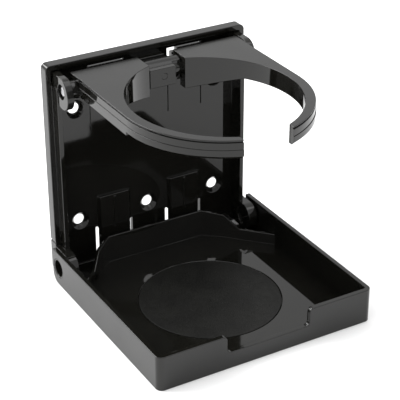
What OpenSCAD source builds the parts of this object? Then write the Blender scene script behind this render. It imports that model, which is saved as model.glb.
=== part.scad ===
// Folding wall drink holder: back plate, fold-down two-arm ring, fold-up tray.
// Units mm, +Z up, -Y away from the wall. The origin lies on the wall face, in the
// middle of the four-screw rectangle. Inside the modules z is measured from the
// underside of the open tray and lift() carries it to the origin.

/* [Tray] */
// outside width of the tray
tray_w = 104; // [90:0.5:120]
// distance of the tray front face from the wall
tray_front = 107.3; // [95:0.1:120]
// distance of the tray rear edge from the wall
tray_rear = 7.5; // [6:0.1:12]
// height of the tray walls
tray_h = 16; // [12:0.1:22]
// thickness of the tray side and front walls
tray_wall = 2.3; // [1.6:0.1:3]
// thickness of the tray floor
tray_floor = 1.4; // [1.2:0.1:3]
// radius of the upright front corners
tray_corner = 3; // [2:0.1:6]
// width of the finger notch in the front wall
notch_w = 40; // [24:0.5:60]
// height of the sill of the finger notch
notch_sill = 7.8; // [5:0.1:12]

/* [Coaster] */
// diameter of the inlaid coaster
coaster_d = 63.4; // [50:0.2:80]
// distance of the coaster centre from the wall
coaster_y = 59; // [50:0.5:70]

/* [Back plate] */
// width of the back plate
plate_w = 98.2; // [90:0.2:104]
// bottom of the plate rim
rim_bottom = 15; // [12:0.1:20]
// top of the plate rim
plate_top = 102.4; // [98:0.1:110]
// depth of the plate rim
rim_depth = 5.3; // [4:0.1:8]
// thickness of the panel
panel_t = 2.5; // [2:0.1:4]
// outer face of the side rails, from the middle
rail_x = 46.6; // [45:0.1:48]
// how far the side rails stand out from the wall
rail_depth = 10.4; // [8:0.1:12]

/* [Screw holes] */
// screw hole diameter
screw_d = 5; // [4:0.1:6]
// countersink diameter on the panel face
sink_d = 8.6; // [7:0.1:10]
// sideways pitch from the middle hole to the outer holes
screw_x = 35; // [30:0.5:40]
// height of the lower row of screw holes
screw_low = 22.9; // [20:0.1:30]
// height of the upper pair of screw holes
screw_high = 78.3; // [70:0.1:85]

/* [Ring] */
// height of the ring deck when open
deck_z = 99.5; // [96:0.1:101]
// distance of the ring axle from the wall
axle_y = 13.6; // [12:0.1:15]
// height of the ring axle
axle_z = 93.4; // [90:0.1:95]
// how far the ring rests to the right of the middle of the plate
ring_shift = 1.3; // [0:0.1:1.6]
// half gap between the two arms at the rear
arm_gap = 8.75; // [7:0.05:12]
// half width over the two arms
arm_reach = 40.9; // [38:0.1:42]
// distance of the rear edge of the arms from the wall
arm_rear = 9.2; // [9:0.1:10]
// radius of the cup side of each arm
cup_r = 42.3; // [38:0.1:46]
// radius of the outside of each arm
bow_r = 43.9; // [40:0.1:48]
// half gap between the two arm tips
tip_gap = 11.3; // [9:0.1:16]

/* [Pivots] */
// ring axle diameter
axle_d = 4; // [3:0.1:5]
// outside diameter of the pivot sleeve
sleeve_d = 8; // [7:0.1:9]
// distance of the tray hinge from the wall
hinge_y = 13.5; // [12:0.1:15]
// height of the tray hinge
hinge_z = 8.5; // [8:0.1:9]
// outside diameter of the hollow tray hinge pin
pin_d = 9; // [8:0.1:9.4]

/* [Hidden] */
$fn = 96;
tiny = 0.01;
far = 200;
run_fit = 0.05;
black = [0.05, 0.05, 0.052];
grey = [0.13, 0.13, 0.13];
steel = [0.72, 0.72, 0.73];
origin_z = (screw_low + screw_high) / 2;
tray_x = tray_w / 2;
tray_in = tray_x - tray_wall;
plate_x = plate_w / 2;
rim_t = plate_x - rail_x;
rail_t = 2.1;
rail_in = rail_x - rail_t;
plate_corner = 2.5;
// lower apron of the panel, between the hinge ears
apron_bottom = 0.2;
ear_r = 6.4;
ear_front = hinge_y + ear_r;
// sprung fingers in the apron, and the pair at the top
finger_in = 9.8;
finger_out = 26.4;
finger_t = 4;
finger_c = 1.2;
finger_top = 33;
slit_w = 1.2;
slit_top = 17.4;
rib_w = 1.2;
rib_t = 0.3;
top_slit_in = 10.7;
top_slit_out = 28.2;
top_slit_w = 0.5;
top_slit_h = 0.8;
top_slit_z = 97.5;
top_slit_low = 67;
// wider corner of the slits, at the inner top corner of the right finger only
mouth_w = 2.4;
mouth_h = 6;
mouth_l = 5;
// fixed stop that the heel of the centre block lands on
stop_x = 7;
stop_depth = 7;
stop_low = 93.9;
stop_top = 97.4;
// bosses of the ring axle
boss_r = 6.1;
boss_in = 43;
boss_out = 46.2;
boss_lobe_y = 0.6;
boss_lobe_z = 1.8;
cap_d = 6.4;
cap_t = 0.8;
cap_recess = 2.4;
axle_proud = 1.5;
// rear wall and wings of the tray
rear_wall_x = 24.3;
rear_wall_h = 14.6;
wing_x = [32.7, 38];
wing_y = [15.9, 21.8, 34.4];
wing_h = [13.1, 6.8];
floor_rear = 4.4;
floor_rear_x = 43.8;
rear_wall_t = 1.2;
rear_wall_y = 7.9;
wing_t = 2.4;
tray_heel_r = 5;
pin_bore_d = 7.8;
pin_bore_in = 47;
pin_in = 45.4;
pin_short = 0.15;
notch_r = 2;
// arms
bow_x = bow_r - arm_reach;
bow_y = 60.4;
cup_x = 6.2;
cup_y = 59.8;
deck_t = 2;
arm_low_rear = 85;
arm_low_tip = 91.2;
slope_start = 20;
slope_end = 36;
skirt_rear = 17.5;
hub_r = 5.9;
hub_out = 36;
web_t = 2;
cavity_front = 47;
// groove under the top edge, and the upper band that stands back from the lower one
groove_z = 0.4;
groove_h = 0.8;
groove_t = 0.9;
band_z = 4.2;
band_t = 0.3;
// bevel along the lower outside edge of the bow
bevel_c = 1.5;
// centre block
block_top = 96.9;
block_low = 88.4;
block_front = 20.2;
block_r = 5.1;
block_x = 8.35;
block_step = 4.2;
block_step_depth = 3.6;
block_hole_d = 3.4;
block_heel_low = 93.9;
block_heel_top = 96.5;
block_mark_d = 2.8;
block_mark_t = 0.3;
stop_gap = 0.1;
block_bore_gap = 0.02;
pad_t = 0.75;
pad_proud = 0.05;
pad_gap = 0.2;

// ---------- helpers ----------
// carry a shape from the tray-underside height to the origin
module lift() {
    translate([0, 0, -origin_z]) children();
}

// cylinder lying along X, centre at (y, z) behind or before the wall, from x0 to x1
module bar(r, x0, x1, y, z) {
    translate([x0, -y, z]) rotate([0, 90, 0]) cylinder(r = r, h = x1 - x0);
}

// box from x0..x1, distance from the wall y0..y1, height z0..z1
module box(x0, x1, y0, y1, z0, z1) {
    translate([x0, -y1, z0]) cube([x1 - x0, y1 - y0, z1 - z0]);
}

// flat shape drawn in (distance from the wall, height), extruded from x0 to x1
module side_cut(x0, x1) {
    translate([x0, 0, 0]) rotate([90, 0, 90]) linear_extrude(x1 - x0) scale([-1, 1]) children();
}

// the same thing for both sides of the middle plane
module both() {
    children();
    mirror([1, 0, 0]) children();
}

// ---------- back plate ----------
module plate_outline(inset) {
    w = plate_x - inset;
    r = max(plate_corner - inset, 0.6);
    z0 = rim_bottom + inset;
    z1 = plate_top - inset;
    translate([-w, z0 + r]) square([2 * w, z1 - z0 - 2 * r]);
    translate([-w + r, z0]) square([2 * (w - r), z1 - z0]);
    for (x = [-w + r, w - r], z = [z0 + r, z1 - r]) translate([x, z]) circle(r = r);
}

module face_up(t) {
    rotate([90, 0, 0]) linear_extrude(t) children();
}

module screw_hole(x, z) {
    translate([x, tiny, z]) rotate([90, 0, 0]) {
        cylinder(d = screw_d, h = rim_depth);
        translate([0, 0, panel_t - (sink_d - screw_d) / 2 + tiny])
            cylinder(d1 = screw_d, d2 = sink_d + 2 * rim_depth, h = (sink_d - screw_d) / 2 + rim_depth);
    }
}

// slit beside a sprung finger, rounded at its top; the finger itself stands forward of the panel
module slit(x0) {
    translate([x0, tiny, 0]) rotate([90, 0, 0]) linear_extrude(rim_depth) {
        translate([0, apron_bottom - 1]) square([slit_w, slit_top - slit_w / 2 - apron_bottom + 1]);
        translate([slit_w / 2, slit_top - slit_w / 2]) circle(d = slit_w);
    }
}

// raised finger seen from above, its front edges bevelled
module finger_plan() {
    polygon([[finger_in, 0], [finger_in, -panel_t], [finger_in + finger_c, -finger_t],
             [finger_out - finger_c, -finger_t], [finger_out, -panel_t], [finger_out, 0]]);
}

module back_plate() color(black) lift() difference() {
    union() {
        face_up(panel_t) plate_outline(0);
        // rim along the sides and the top, open at the bottom
        difference() {
            face_up(rim_depth) plate_outline(0);
            translate([0, -panel_t, 0]) face_up(rim_depth) plate_outline(rim_t);
            box(-rail_x, rail_x, panel_t, far, 0, rim_bottom + rim_t + 1);
        }
        // apron that hangs down behind the tray
        box(-rail_x, rail_x, 0, panel_t, apron_bottom, rim_bottom + rim_t);
        // stop for the heel of the centre block
        box(-stop_x, stop_x, 0, stop_depth, stop_low, stop_top);
        both() {
            // side rail, axle boss and hinge ear
            box(rail_in, rail_x, 0, rail_depth, hinge_z, axle_z);
            bar(boss_r, boss_in, boss_out, axle_y, axle_z);
            bar(boss_r, boss_in, boss_out, axle_y + boss_lobe_y, axle_z - boss_lobe_z);
            box(boss_in, boss_out, 0, axle_y, axle_z - boss_r, axle_z + boss_r);
            bar(ear_r, rail_in, plate_x, hinge_y, hinge_z);
            box(rail_in, plate_x, 0, hinge_y, hinge_z - ear_r, hinge_z + ear_r);
            box(rail_in, plate_x, 0, rim_depth, hinge_z, rim_bottom + 1);
            // raised sprung finger with its rib
            translate([0, 0, apron_bottom]) linear_extrude(finger_top - apron_bottom) finger_plan();
            box((finger_in + finger_out - rib_w) / 2, (finger_in + finger_out + rib_w) / 2,
                0, finger_t + rib_t, rim_bottom, finger_top - 1);
        }
    }
    both() {
        slit(finger_out);
        slit(finger_in - slit_w);
        box(finger_in - 1, finger_out + 1, -1, panel_t, apron_bottom - 1, slit_top - slit_w / 2);
        bar(axle_d / 2 + run_fit, boss_in - 1, boss_out + 1, axle_y, axle_z);
        bar(cap_d / 2 + run_fit, boss_out - cap_recess, boss_out + 1, axle_y, axle_z);
        bar(pin_d / 2 + run_fit / 5, rail_in - 1, plate_x + 1, hinge_y, hinge_z);
        // slits round the upper sprung fingers
        box(top_slit_in, top_slit_in + top_slit_w, -1, rim_depth, top_slit_low, top_slit_z);
        box(top_slit_out - top_slit_w, top_slit_out, -1, rim_depth, top_slit_low, top_slit_z);
        box(top_slit_in, top_slit_out, -1, rim_depth, top_slit_z - top_slit_h, top_slit_z);
    }
    box(top_slit_in, top_slit_in + mouth_w, -1, rim_depth, top_slit_z - mouth_h, top_slit_z);
    box(top_slit_in, top_slit_in + mouth_l, -1, rim_depth, top_slit_z - mouth_w, top_slit_z);
    for (x = [-screw_x, 0, screw_x]) screw_hole(x, screw_low);
    for (x = [-screw_x, screw_x]) screw_hole(x, screw_high);
}

// ---------- tray ----------
module tray_plan(inset) {
    w = tray_x - inset;
    r = max(tray_corner - inset, 0.7);
    y1 = tray_front - inset;
    translate([-w, -y1 + r]) square([2 * w, y1 - r - tray_rear]);
    translate([-w + r, -y1]) square([2 * (w - r), y1 - tray_rear]);
    for (x = [-w + r, w - r]) translate([x, -y1 + r]) circle(r = r);
}

// everything behind the front faces of the rear wall and its wings, seen from above,
// drawn back by tw on the wall and by tv on the wings
module rear_line(tw, tv) {
    xs = [tray_in + 1, wing_x[1], wing_x[0], rear_wall_x];
    ys = [wing_y[2] + 1 - tv, wing_y[1] - tv, wing_y[0] - tv, rear_wall_y + rear_wall_t - tw];
    polygon([for (i = [0:3]) [-xs[i], -ys[i]], for (i = [3:-1:0]) [xs[i], -ys[i]],
             [xs[0], 0], [-xs[0], 0]]);
}

module rear_plan() difference() {
    rear_line(0, 0);
    rear_line(rear_wall_t, wing_t);
}

module tray() color(black) lift() difference() {
    union() {
        difference() {
            linear_extrude(tray_h) tray_plan(0);
            translate([0, 0, tray_floor]) linear_extrude(tray_h) {
                tray_plan(tray_wall);
                translate([-tray_in, -tray_front / 2]) square([2 * tray_in, tray_front / 2]);
            }
        }
        // rear wall: full height in the middle, sloping down on the wings
        intersection() {
            linear_extrude(tray_h) rear_plan();
            rotate([90, 0, 0]) linear_extrude(far)
                polygon([[-tray_x, 0], [-tray_x, wing_h[1]], [-wing_x[1], wing_h[1]],
                         [-wing_x[0], wing_h[0]], [-rear_wall_x, rear_wall_h],
                         [rear_wall_x, rear_wall_h], [wing_x[0], wing_h[0]],
                         [wing_x[1], wing_h[1]], [tray_x, wing_h[1]], [tray_x, 0]]);
        }
        // rear edge of the floor, close to the back plate
        box(-floor_rear_x, floor_rear_x, floor_rear, tray_rear + tray_heel_r, 0, tray_floor);
    }
    // rounded heel of the side walls, swinging round the hinge
    both() side_cut(floor_rear_x, far) difference() {
        translate([tray_rear - 1, -1]) square([tray_heel_r + 1, tray_heel_r + 1]);
        translate([tray_rear + tray_heel_r, tray_heel_r]) circle(r = tray_heel_r);
    }
    // coaster recess
    translate([0, -coaster_y, tray_floor - pad_t + pad_proud]) cylinder(d = coaster_d, h = tray_h);
    // finger notch
    translate([0, -tray_front + tray_wall + 1, 0]) rotate([90, 0, 0]) linear_extrude(tray_wall + 2) {
        translate([-notch_w / 2 + notch_r, notch_sill]) square([notch_w - 2 * notch_r, tray_h]);
        translate([-notch_w / 2, notch_sill + notch_r]) square([notch_w, tray_h]);
        for (x = [-1, 1]) translate([x * (notch_w / 2 - notch_r), notch_sill + notch_r]) circle(r = notch_r);
        difference() {
            translate([-notch_w / 2 - notch_r, tray_h - notch_r]) square([notch_w + 2 * notch_r, notch_r + 1]);
            for (x = [-1, 1]) translate([x * (notch_w / 2 + notch_r), tray_h - notch_r]) circle(r = notch_r);
        }
    }
    both() bar(pin_d / 2 + run_fit, tray_in - 1, tray_x + 1, hinge_y, hinge_z);
}

module coaster_pad() color(grey) lift()
    translate([0, -coaster_y, tray_floor - pad_t + pad_proud])
        cylinder(d = coaster_d - 2 * pad_gap, h = pad_t);

// ---------- tray hinge pins ----------
// hollow pin, open outwards
module tray_pin() difference() {
    bar(pin_d / 2, pin_in, tray_x - pin_short, hinge_y, hinge_z);
    bar(pin_bore_d / 2, pin_bore_in, tray_x + 1, hinge_y, hinge_z);
}

module tray_pin_right() color(black) lift() tray_pin();

module tray_pin_left() color(black) lift() mirror([1, 0, 0]) tray_pin();

// ---------- ring axle ----------
module ring_axle() color(steel) lift()
    bar(axle_d / 2, -boss_out + cap_recess - axle_proud, boss_out - cap_recess + axle_proud, axle_y, axle_z);

module axle_cap() difference() {
    bar(cap_d / 2, boss_out - cap_recess + run_fit, boss_out - cap_recess + run_fit + cap_t, axle_y, axle_z);
    bar(axle_d / 2, boss_in, boss_out, axle_y, axle_z);
}

module axle_cap_right() color(steel) lift() axle_cap();

module axle_cap_left() color(steel) lift() mirror([1, 0, 0]) axle_cap();

module pivot_sleeve() color(black) lift() difference() {
    bar(sleeve_d / 2, -boss_in + 0.2, boss_in - 0.2, axle_y, axle_z);
    bar(axle_d / 2 + run_fit, -boss_in, boss_in, axle_y, axle_z);
}

// block between the arms: turns with the sleeve, its heel stops the ring level
module centre_block() color(black) lift() translate([ring_shift, 0, 0]) difference() {
    union() {
        box(-block_x, block_x, axle_y, block_front, block_low, block_top);
        bar(block_r, -block_x, block_x, axle_y, axle_z);
        box(-stop_x, stop_x, stop_depth + stop_gap, axle_y, block_heel_low, block_heel_top);
    }
    bar(sleeve_d / 2 - block_bore_gap / 2, -far, far, axle_y, axle_z);
    box(block_step, far, block_front - block_step_depth, far, 0, far);
    translate([(block_x + block_step) / 2, -block_front + block_step_depth + 2, axle_z - 2])
        rotate([90, 0, 0]) cylinder(d = block_hole_d, h = far);
    // shallow round mark on the front
    translate([-ring_shift, -block_front + block_mark_t, axle_z - 0.5])
        rotate([90, 0, 0]) cylinder(d = block_mark_d, h = far);
}

// ---------- arms ----------
// plan of the right arm, everything outside the cup circle and inside the bow
module arm_plan() difference() {
    union() {
        translate([arm_gap, -bow_y]) square([arm_reach - arm_gap, bow_y - arm_rear]);
        difference() {
            translate([-bow_x, -bow_y]) circle(r = bow_r);
            translate([-far, -bow_y]) square([2 * far, far]);
        }
    }
    translate([-cup_x, -cup_y]) circle(r = cup_r);
    translate([tip_gap - far, -far]) square([far, far - cup_y]);
    translate([arm_gap - far, -far]) square([far, 2 * far]);
}

// underside of the rear part, open from below between the walls
module arm_cavity_plan() difference() {
    translate([arm_gap + web_t, -cavity_front])
        square([arm_reach - arm_gap - 2 * web_t, cavity_front - axle_y]);
    translate([-cup_x, -cup_y]) circle(r = cup_r + web_t);
}

// strip along the outside of the arm, t deep, seen from above
module arm_strip(t) {
    translate([arm_reach - t, -bow_y]) square([1 + t, bow_y - skirt_rear]);
    difference() {
        translate([-bow_x, -bow_y]) circle(r = bow_r + 1);
        translate([-bow_x, -bow_y]) circle(r = bow_r - t);
        translate([-far, -bow_y]) square([2 * far, far]);
    }
}

module arm() difference() {
    translate([0, 0, arm_low_rear]) linear_extrude(deck_z - arm_low_rear) arm_plan();
    // underside, deep at the hinge and shallow from the cup side to the tip
    side_cut(-far, far)
        polygon([[0, 0], [0, arm_low_rear], [slope_start, arm_low_rear], [slope_end, arm_low_tip],
                 [far, arm_low_tip], [far, 0]]);
    box(hub_out, far, 0, far, 0, arm_low_tip);
    // hollow underside with the hub left standing
    linear_extrude(deck_z - deck_t) arm_cavity_plan();
    difference() {
        box(arm_gap - 1, far, 0, axle_y + 2, 0, deck_z - deck_t);
        bar(hub_r, arm_gap, hub_out, axle_y, axle_z);
        box(arm_gap, hub_out, arm_rear, axle_y + hub_r, axle_z, deck_z);
    }
    // the outer skirt stops short of the hub's rounded rear
    side_cut(hub_out, far) square([skirt_rear, deck_z - deck_t]);
    // sliding bore
    bar(sleeve_d / 2 + run_fit, -1, far, axle_y, axle_z);
    // groove under the top edge, and the step half way down the outside
    translate([0, 0, deck_z - groove_z - groove_h]) linear_extrude(groove_h) arm_strip(groove_t);
    translate([0, 0, deck_z - band_z]) linear_extrude(far) arm_strip(band_t);
    // bevel along the lower edge of the bow, clear of the tray wings when folded
    translate([-bow_x, -bow_y, arm_low_tip - tiny]) difference() {
        cylinder(r = bow_r + 1, h = bevel_c);
        cylinder(r1 = bow_r - bevel_c, r2 = bow_r, h = bevel_c + tiny);
        translate([-far, 0, -1]) cube([2 * far, far, bevel_c + 2]);
    }
}

module arm_right() color(black) lift() translate([ring_shift, 0, 0]) arm();

module arm_left() color(black) lift() translate([ring_shift, 0, 0]) mirror([1, 0, 0]) arm();

back_plate();
tray();
coaster_pad();
tray_pin_left();
tray_pin_right();
ring_axle();
axle_cap_left();
axle_cap_right();
pivot_sleeve();
centre_block();
arm_left();
arm_right();
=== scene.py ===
"""Folding wall drink holder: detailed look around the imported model, in metres."""
import bpy, bmesh, math
from mathutils import Matrix, Vector


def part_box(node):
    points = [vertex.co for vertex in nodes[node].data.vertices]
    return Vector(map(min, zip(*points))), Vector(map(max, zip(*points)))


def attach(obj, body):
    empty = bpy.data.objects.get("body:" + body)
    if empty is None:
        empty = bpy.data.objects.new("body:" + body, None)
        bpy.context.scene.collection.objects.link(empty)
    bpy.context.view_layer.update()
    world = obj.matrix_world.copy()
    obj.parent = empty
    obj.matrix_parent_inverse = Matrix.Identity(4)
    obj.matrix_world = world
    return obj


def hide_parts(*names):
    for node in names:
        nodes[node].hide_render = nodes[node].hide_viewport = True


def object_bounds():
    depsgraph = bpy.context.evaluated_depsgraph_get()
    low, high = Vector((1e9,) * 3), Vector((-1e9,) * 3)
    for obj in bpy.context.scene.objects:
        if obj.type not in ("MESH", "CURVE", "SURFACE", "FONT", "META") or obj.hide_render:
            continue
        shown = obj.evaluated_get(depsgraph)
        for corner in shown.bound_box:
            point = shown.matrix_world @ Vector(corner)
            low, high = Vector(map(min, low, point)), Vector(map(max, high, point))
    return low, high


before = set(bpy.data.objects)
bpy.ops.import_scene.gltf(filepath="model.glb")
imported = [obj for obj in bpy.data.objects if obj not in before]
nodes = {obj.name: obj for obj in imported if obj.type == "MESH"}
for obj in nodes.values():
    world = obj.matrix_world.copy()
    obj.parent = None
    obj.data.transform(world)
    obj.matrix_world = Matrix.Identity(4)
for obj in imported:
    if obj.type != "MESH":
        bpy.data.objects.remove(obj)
cad_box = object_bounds()
scene = bpy.context.scene
MM = 0.001


# ---------- camera ----------
CAM_AT = (-0.2626, -0.5063, 0.2830)
CAM_AZ, CAM_EL, CAM_ROLL = -29.934, 28.618, -0.145

LENS, SENSOR = 125.34, 36.0

cam = bpy.data.cameras.new("camera")
cam.lens = LENS
cam.sensor_width = SENSOR
cam_obj = bpy.data.objects.new("camera", cam)
scene.collection.objects.link(cam_obj)
turn = (Matrix.Rotation(math.radians(CAM_AZ), 4, "Z")
        @ Matrix.Rotation(math.radians(90 - CAM_EL), 4, "X")
        @ Matrix.Rotation(math.radians(CAM_ROLL), 4, "Z"))
cam_obj.matrix_world = Matrix.Translation(CAM_AT) @ turn
scene.camera = cam_obj


# ---------- material helpers ----------
class Net:
    """A material's node tree, with short calls for the nodes used here."""

    def __init__(self, name):
        self.mat = bpy.data.materials.new(name)
        self.mat.use_nodes = True
        self.tree = self.mat.node_tree
        self.tree.nodes.clear()
        self.out = self.add("ShaderNodeOutputMaterial")
        self.bsdf = self.add("ShaderNodeBsdfPrincipled")
        self.link(self.bsdf.outputs["BSDF"], self.out.inputs["Surface"])
        self.at = self.add("ShaderNodeTexCoord").outputs["Object"]

    def add(self, kind, **inputs):
        n = self.tree.nodes.new(kind)
        for k, v in inputs.items():
            n.inputs[k].default_value = v
        return n

    def link(self, a, b):
        self.tree.links.new(a, b)

    def noise(self, scale, detail=2.0, rough=0.5, stretch=None):
        n = self.add("ShaderNodeTexNoise", Scale=scale, Detail=detail, Roughness=rough)
        src = self.at
        if stretch:
            m = self.add("ShaderNodeMapping")
            m.inputs["Scale"].default_value = stretch
            self.link(src, m.inputs["Vector"])
            src = m.outputs["Vector"]
        self.link(src, n.inputs["Vector"])
        return n.outputs["Fac"]

    def ramp(self, fac, lo, hi, a, b):
        """Map fac from lo..hi to a..b, where a and b are numbers."""
        n = self.add("ShaderNodeMapRange")
        for k, v in (("From Min", lo), ("From Max", hi), ("To Min", a), ("To Max", b)):
            n.inputs[k].default_value = v
        self.link(fac, n.inputs["Value"])
        return n.outputs["Result"]

    def tint(self, fac, a, b):
        n = self.add("ShaderNodeMix")
        n.data_type = "RGBA"
        n.inputs["A"].default_value = (*a, 1)
        n.inputs["B"].default_value = (*b, 1)
        self.link(fac, n.inputs["Factor"])
        self.link(n.outputs["Result"], self.bsdf.inputs["Base Color"])

    def sum(self, a, b, op="ADD"):
        n = self.add("ShaderNodeMath")
        n.operation = op
        self.link(a, n.inputs[0])
        self.link(b, n.inputs[1])
        return n.outputs[0]

    def bump(self, height, strength, distance, after=None):
        n = self.add("ShaderNodeBump", Strength=strength, Distance=distance)
        self.link(height, n.inputs["Height"])
        if after:
            self.link(after, n.inputs["Normal"])
        self.link(n.outputs["Normal"], self.bsdf.inputs["Normal"])
        return n.outputs["Normal"]


def moulded(name, dark, light, gloss, grain, ripple):
    """Moulded black plastic. gloss = (lowest, highest) roughness, grain and ripple are bump strengths."""
    m = Net(name)
    m.bsdf.inputs["IOR"].default_value = 1.5
    m.bsdf.inputs["Specular IOR Level"].default_value = 0.42
    m.tint(m.ramp(m.noise(35, 3), 0.35, 0.65, 0, 1), dark, light)
    broad = m.noise(60, 3, 0.55)
    fine = m.noise(900, 4, 0.6)
    haze = m.sum(m.ramp(broad, 0.3, 0.7, gloss[0], gloss[1]), m.ramp(fine, 0.4, 0.8, 0.0, 0.02))
    scuff = m.ramp(m.noise(260, 5, 0.7, (1, 9, 1)), 0.66, 0.80, 0, 0.05)
    m.link(m.sum(haze, scuff), m.bsdf.inputs["Roughness"])
    wave = m.bump(m.noise(55, 1.5), ripple, 0.0006)
    m.bump(m.noise(2600, 3, 0.6), grain, 0.00006, wave)
    return m.mat


gloss_black = moulded("gloss_black", (0.0045, 0.0044, 0.0036), (0.0065, 0.0063, 0.0052),
                      (0.02, 0.05), 0.02, 0.03)
satin_black = moulded("satin_black", (0.006, 0.006, 0.0055), (0.009, 0.009, 0.0085),
                      (0.16, 0.24), 0.12, 0.03)


def coaster_mat():
    m = Net("coaster_grain")
    m.bsdf.inputs["IOR"].default_value = 1.45
    m.bsdf.inputs["Specular IOR Level"].default_value = 0.2
    m.tint(m.ramp(m.noise(80, 3), 0.35, 0.65, 0, 1), (0.006, 0.006, 0.0055), (0.009, 0.009, 0.008))
    m.link(m.ramp(m.noise(500, 3), 0.3, 0.7, 0.38, 0.52), m.bsdf.inputs["Roughness"])
    pebble = m.sum(m.noise(1300, 2, 0.6), m.noise(3100, 2, 0.5), "MULTIPLY")
    m.bump(pebble, 0.7, 0.0003)
    return m.mat


def steel_mat():
    m = Net("pin_steel")
    m.bsdf.inputs["Metallic"].default_value = 1.0
    m.tint(m.ramp(m.noise(700, 3), 0.3, 0.7, 0, 1), (0.46, 0.46, 0.47), (0.62, 0.62, 0.63))
    m.link(m.ramp(m.noise(400, 4, 0.6, (30, 1, 1)), 0.3, 0.7, 0.22, 0.42), m.bsdf.inputs["Roughness"])
    m.bump(m.noise(1500, 2, 0.5, (1, 20, 20)), 0.25, 0.00005)
    return m.mat


grain_pad = coaster_mat()
pin_steel = steel_mat()


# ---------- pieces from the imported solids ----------
WELD = 0.03 * MM
FLAT = math.radians(0.5)
INNER_SHARE = 0.3


def new_piece(name, bm, mats):
    me = bpy.data.meshes.new(name)
    bm.to_mesh(me)
    bm.free()
    o = bpy.data.objects.new(name, me)
    scene.collection.objects.link(o)
    for mat in mats:
        me.materials.append(mat)
    for face in me.polygons:
        face.use_smooth = True
    return o


def tidy_copy(node):
    """The node's mesh with its flat faces whole again, ready for rounding its edges."""
    bm = bmesh.new()
    bm.from_mesh(nodes[node].data)
    bmesh.ops.remove_doubles(bm, verts=bm.verts, dist=WELD)
    bmesh.ops.dissolve_degenerate(bm, dist=WELD, edges=bm.edges)
    bmesh.ops.dissolve_limit(bm, angle_limit=FLAT, verts=bm.verts, edges=bm.edges)
    return bm


def rounded(node, name, body, mats, radius, outside=None, share=None, min_angle=32):
    """A copy of the node with every hard edge rounded, by share(edge) of the radius,
    and satin where outside(face) says so."""
    bm = tidy_copy(node)
    if outside:
        for f in bm.faces:
            f.material_index = 1 if outside(f) else 0
    weight = bm.edges.layers.float.new("bevel_weight_edge")
    for e in bm.edges:
        if len(e.link_faces) == 2 and e.calc_face_angle(0) > math.radians(min_angle):
            e[weight] = (share(e) if share else 1.0) * (1.0 if e.is_convex else INNER_SHARE)
    o = new_piece(name, bm, mats)
    bev = o.modifiers.new("edges", "BEVEL")
    bev.limit_method = "WEIGHT"
    bev.offset_type = "OFFSET"
    bev.width = radius
    bev.segments = 3
    bev.use_clamp_overlap = False
    bev.loop_slide = False
    wn = o.modifiers.new("normals", "WEIGHTED_NORMAL")
    wn.weight = 50
    wn.keep_sharp = False
    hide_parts(node)
    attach(o, body)
    return o


SKIN = 0.1 * MM
RIM_FRONT, RIM_LOW = 5.2 * MM, 30 * MM
hi = Vector(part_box("back_plate")[1])
tlo, thi = [Vector(c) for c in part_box("tray")]
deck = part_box("arm_left")[1][2]
BAND_LOW, GROOVE_TOP = deck - 4.3 * MM, deck - 0.3 * MM
slo, shi = [Vector(c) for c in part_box("pivot_sleeve")]
SLEEVE, SLEEVE_R = (slo + shi) / 2, (shi.z - slo.z) / 2
SLIT_IN, SLIT_OUT, SLIT_LOW = 10.5 * MM, 28.4 * MM, 16 * MM
HEEL_X, HEEL_TOP = 43.8 * MM, tlo.z + 5.1 * MM


def plate_outside(f):
    """The sides, top and back of the plate, and the front of its rim near the top."""
    c = f.calc_center_median()
    return (abs(c.x) > hi.x - SKIN or c.z > hi.z - SKIN or c.y > -SKIN
            or c.y < -RIM_FRONT and c.z > RIM_LOW and abs(f.normal.y) > 0.7)


def tray_outside(f):
    """The sides, front and underside of the tray."""
    c = f.calc_center_median()
    return abs(c.x) > thi.x - SKIN or c.y < tlo.y + SKIN or c.z < tlo.z + SKIN


def top_side(f):
    """Faces that look up."""
    return f.normal.z > 0.5


def arm_share(e):
    """Less on the groove and the step along the outside of an arm, and round its bore."""
    if all((v.co - SLEEVE).yz.length < SLEEVE_R + 0.2 * MM for v in e.verts):
        return 0.25
    return 0.5 if all(BAND_LOW < v.co.z < GROOVE_TOP for v in e.verts) else 1.0


def plate_share(e):
    """Less along the narrow slits of the upper fingers."""
    return 0.3 if all(SLIT_IN < abs(v.co.x) < SLIT_OUT and v.co.z > SLIT_LOW for v in e.verts) else 1.0


def tray_share(e):
    """No rounding where the rear tongue of the floor runs out into the round heels."""
    return 0.0 if all(abs(abs(v.co.x) - HEEL_X) < 0.1 * MM and v.co.z < HEEL_TOP for v in e.verts) else 1.0


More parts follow.
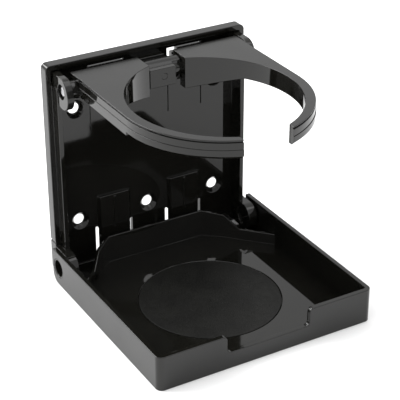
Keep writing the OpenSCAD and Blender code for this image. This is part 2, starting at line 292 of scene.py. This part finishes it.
body_mats = [gloss_black, satin_black]
rounded("back_plate", "plate_moulding", "plate", body_mats, 0.3 * MM, plate_outside,
        plate_share)
rounded("tray", "tray_moulding", "tray", body_mats, 0.35 * MM, tray_outside, tray_share)
rounded("arm_left", "arm_left_moulding", "left_arm", body_mats, 0.2 * MM, top_side,
        arm_share)
rounded("arm_right", "arm_right_moulding", "right_arm", body_mats, 0.2 * MM, top_side,
        arm_share)
rounded("centre_block", "block_moulding", "ring_hub", body_mats, 0.25 * MM, top_side)
rounded("pivot_sleeve", "sleeve_moulding", "ring_hub", [gloss_black], 0.2 * MM)
rounded("coaster_pad", "coaster_disc", "tray", [grain_pad], 0.2 * MM)
rounded("ring_axle", "axle_rod", "plate", [pin_steel], 0.15 * MM)
for side in ("left", "right"):
    rounded("tray_pin_" + side, "tray_pin_head_" + side, "plate", [gloss_black], 0.2 * MM)
    rounded("axle_cap_" + side, "axle_cap_cover_" + side, "plate", [gloss_black], 0.2 * MM)


# ---------- floor, light, world ----------
FLOOR_Z = cad_box[0][2] - 0.05 * MM
FLOOR_HALF = 3.0
bm = bmesh.new()
bmesh.ops.create_grid(bm, x_segments=1, y_segments=1, size=FLOOR_HALF)
floor_me = bpy.data.meshes.new("floor")
bm.to_mesh(floor_me)
bm.free()
floor = bpy.data.objects.new("floor", floor_me)
floor.location.z = FLOOR_Z
scene.collection.objects.link(floor)
fm = Net("pale_floor")
fm.tint(fm.noise(3, 2), (0.90, 0.90, 0.90), (0.93, 0.93, 0.93))
fm.link(fm.ramp(fm.noise(40, 2), 0.3, 0.7, 0.7, 0.8), fm.bsdf.inputs["Roughness"])
fm.bsdf.inputs["Specular IOR Level"].default_value = 0.1
floor_me.materials.append(fm.mat)

world = bpy.data.worlds.new("studio")
world.use_nodes = True
world.node_tree.nodes["Background"].inputs["Color"].default_value = (1, 1, 1, 1)
world.node_tree.nodes["Background"].inputs["Strength"].default_value = 1.0
scene.world = world


def softbox(name, at, aim, size, watts):
    data = bpy.data.lights.new(name, "AREA")
    data.shape = "RECTANGLE"
    data.size, data.size_y = size
    data.energy = watts
    o = bpy.data.objects.new(name, data)
    scene.collection.objects.link(o)
    o.location = at
    o.rotation_euler = (Vector(aim) - Vector(at)).to_track_quat("-Z", "Y").to_euler()


softbox("softbox_back_left", (-0.8, 0.9, 1.0), (-0.1, 0.1, 0), (1.2, 1.0), 28)
softbox("softbox_top", (0.1, -0.2, 1.5), (0, 0, 0), (1.4, 1.4), 10)

scene.view_settings.view_transform = "Standard"
scene.view_settings.look = "None"
scene.view_settings.exposure = 0.0
scene.view_settings.gamma = 1.0
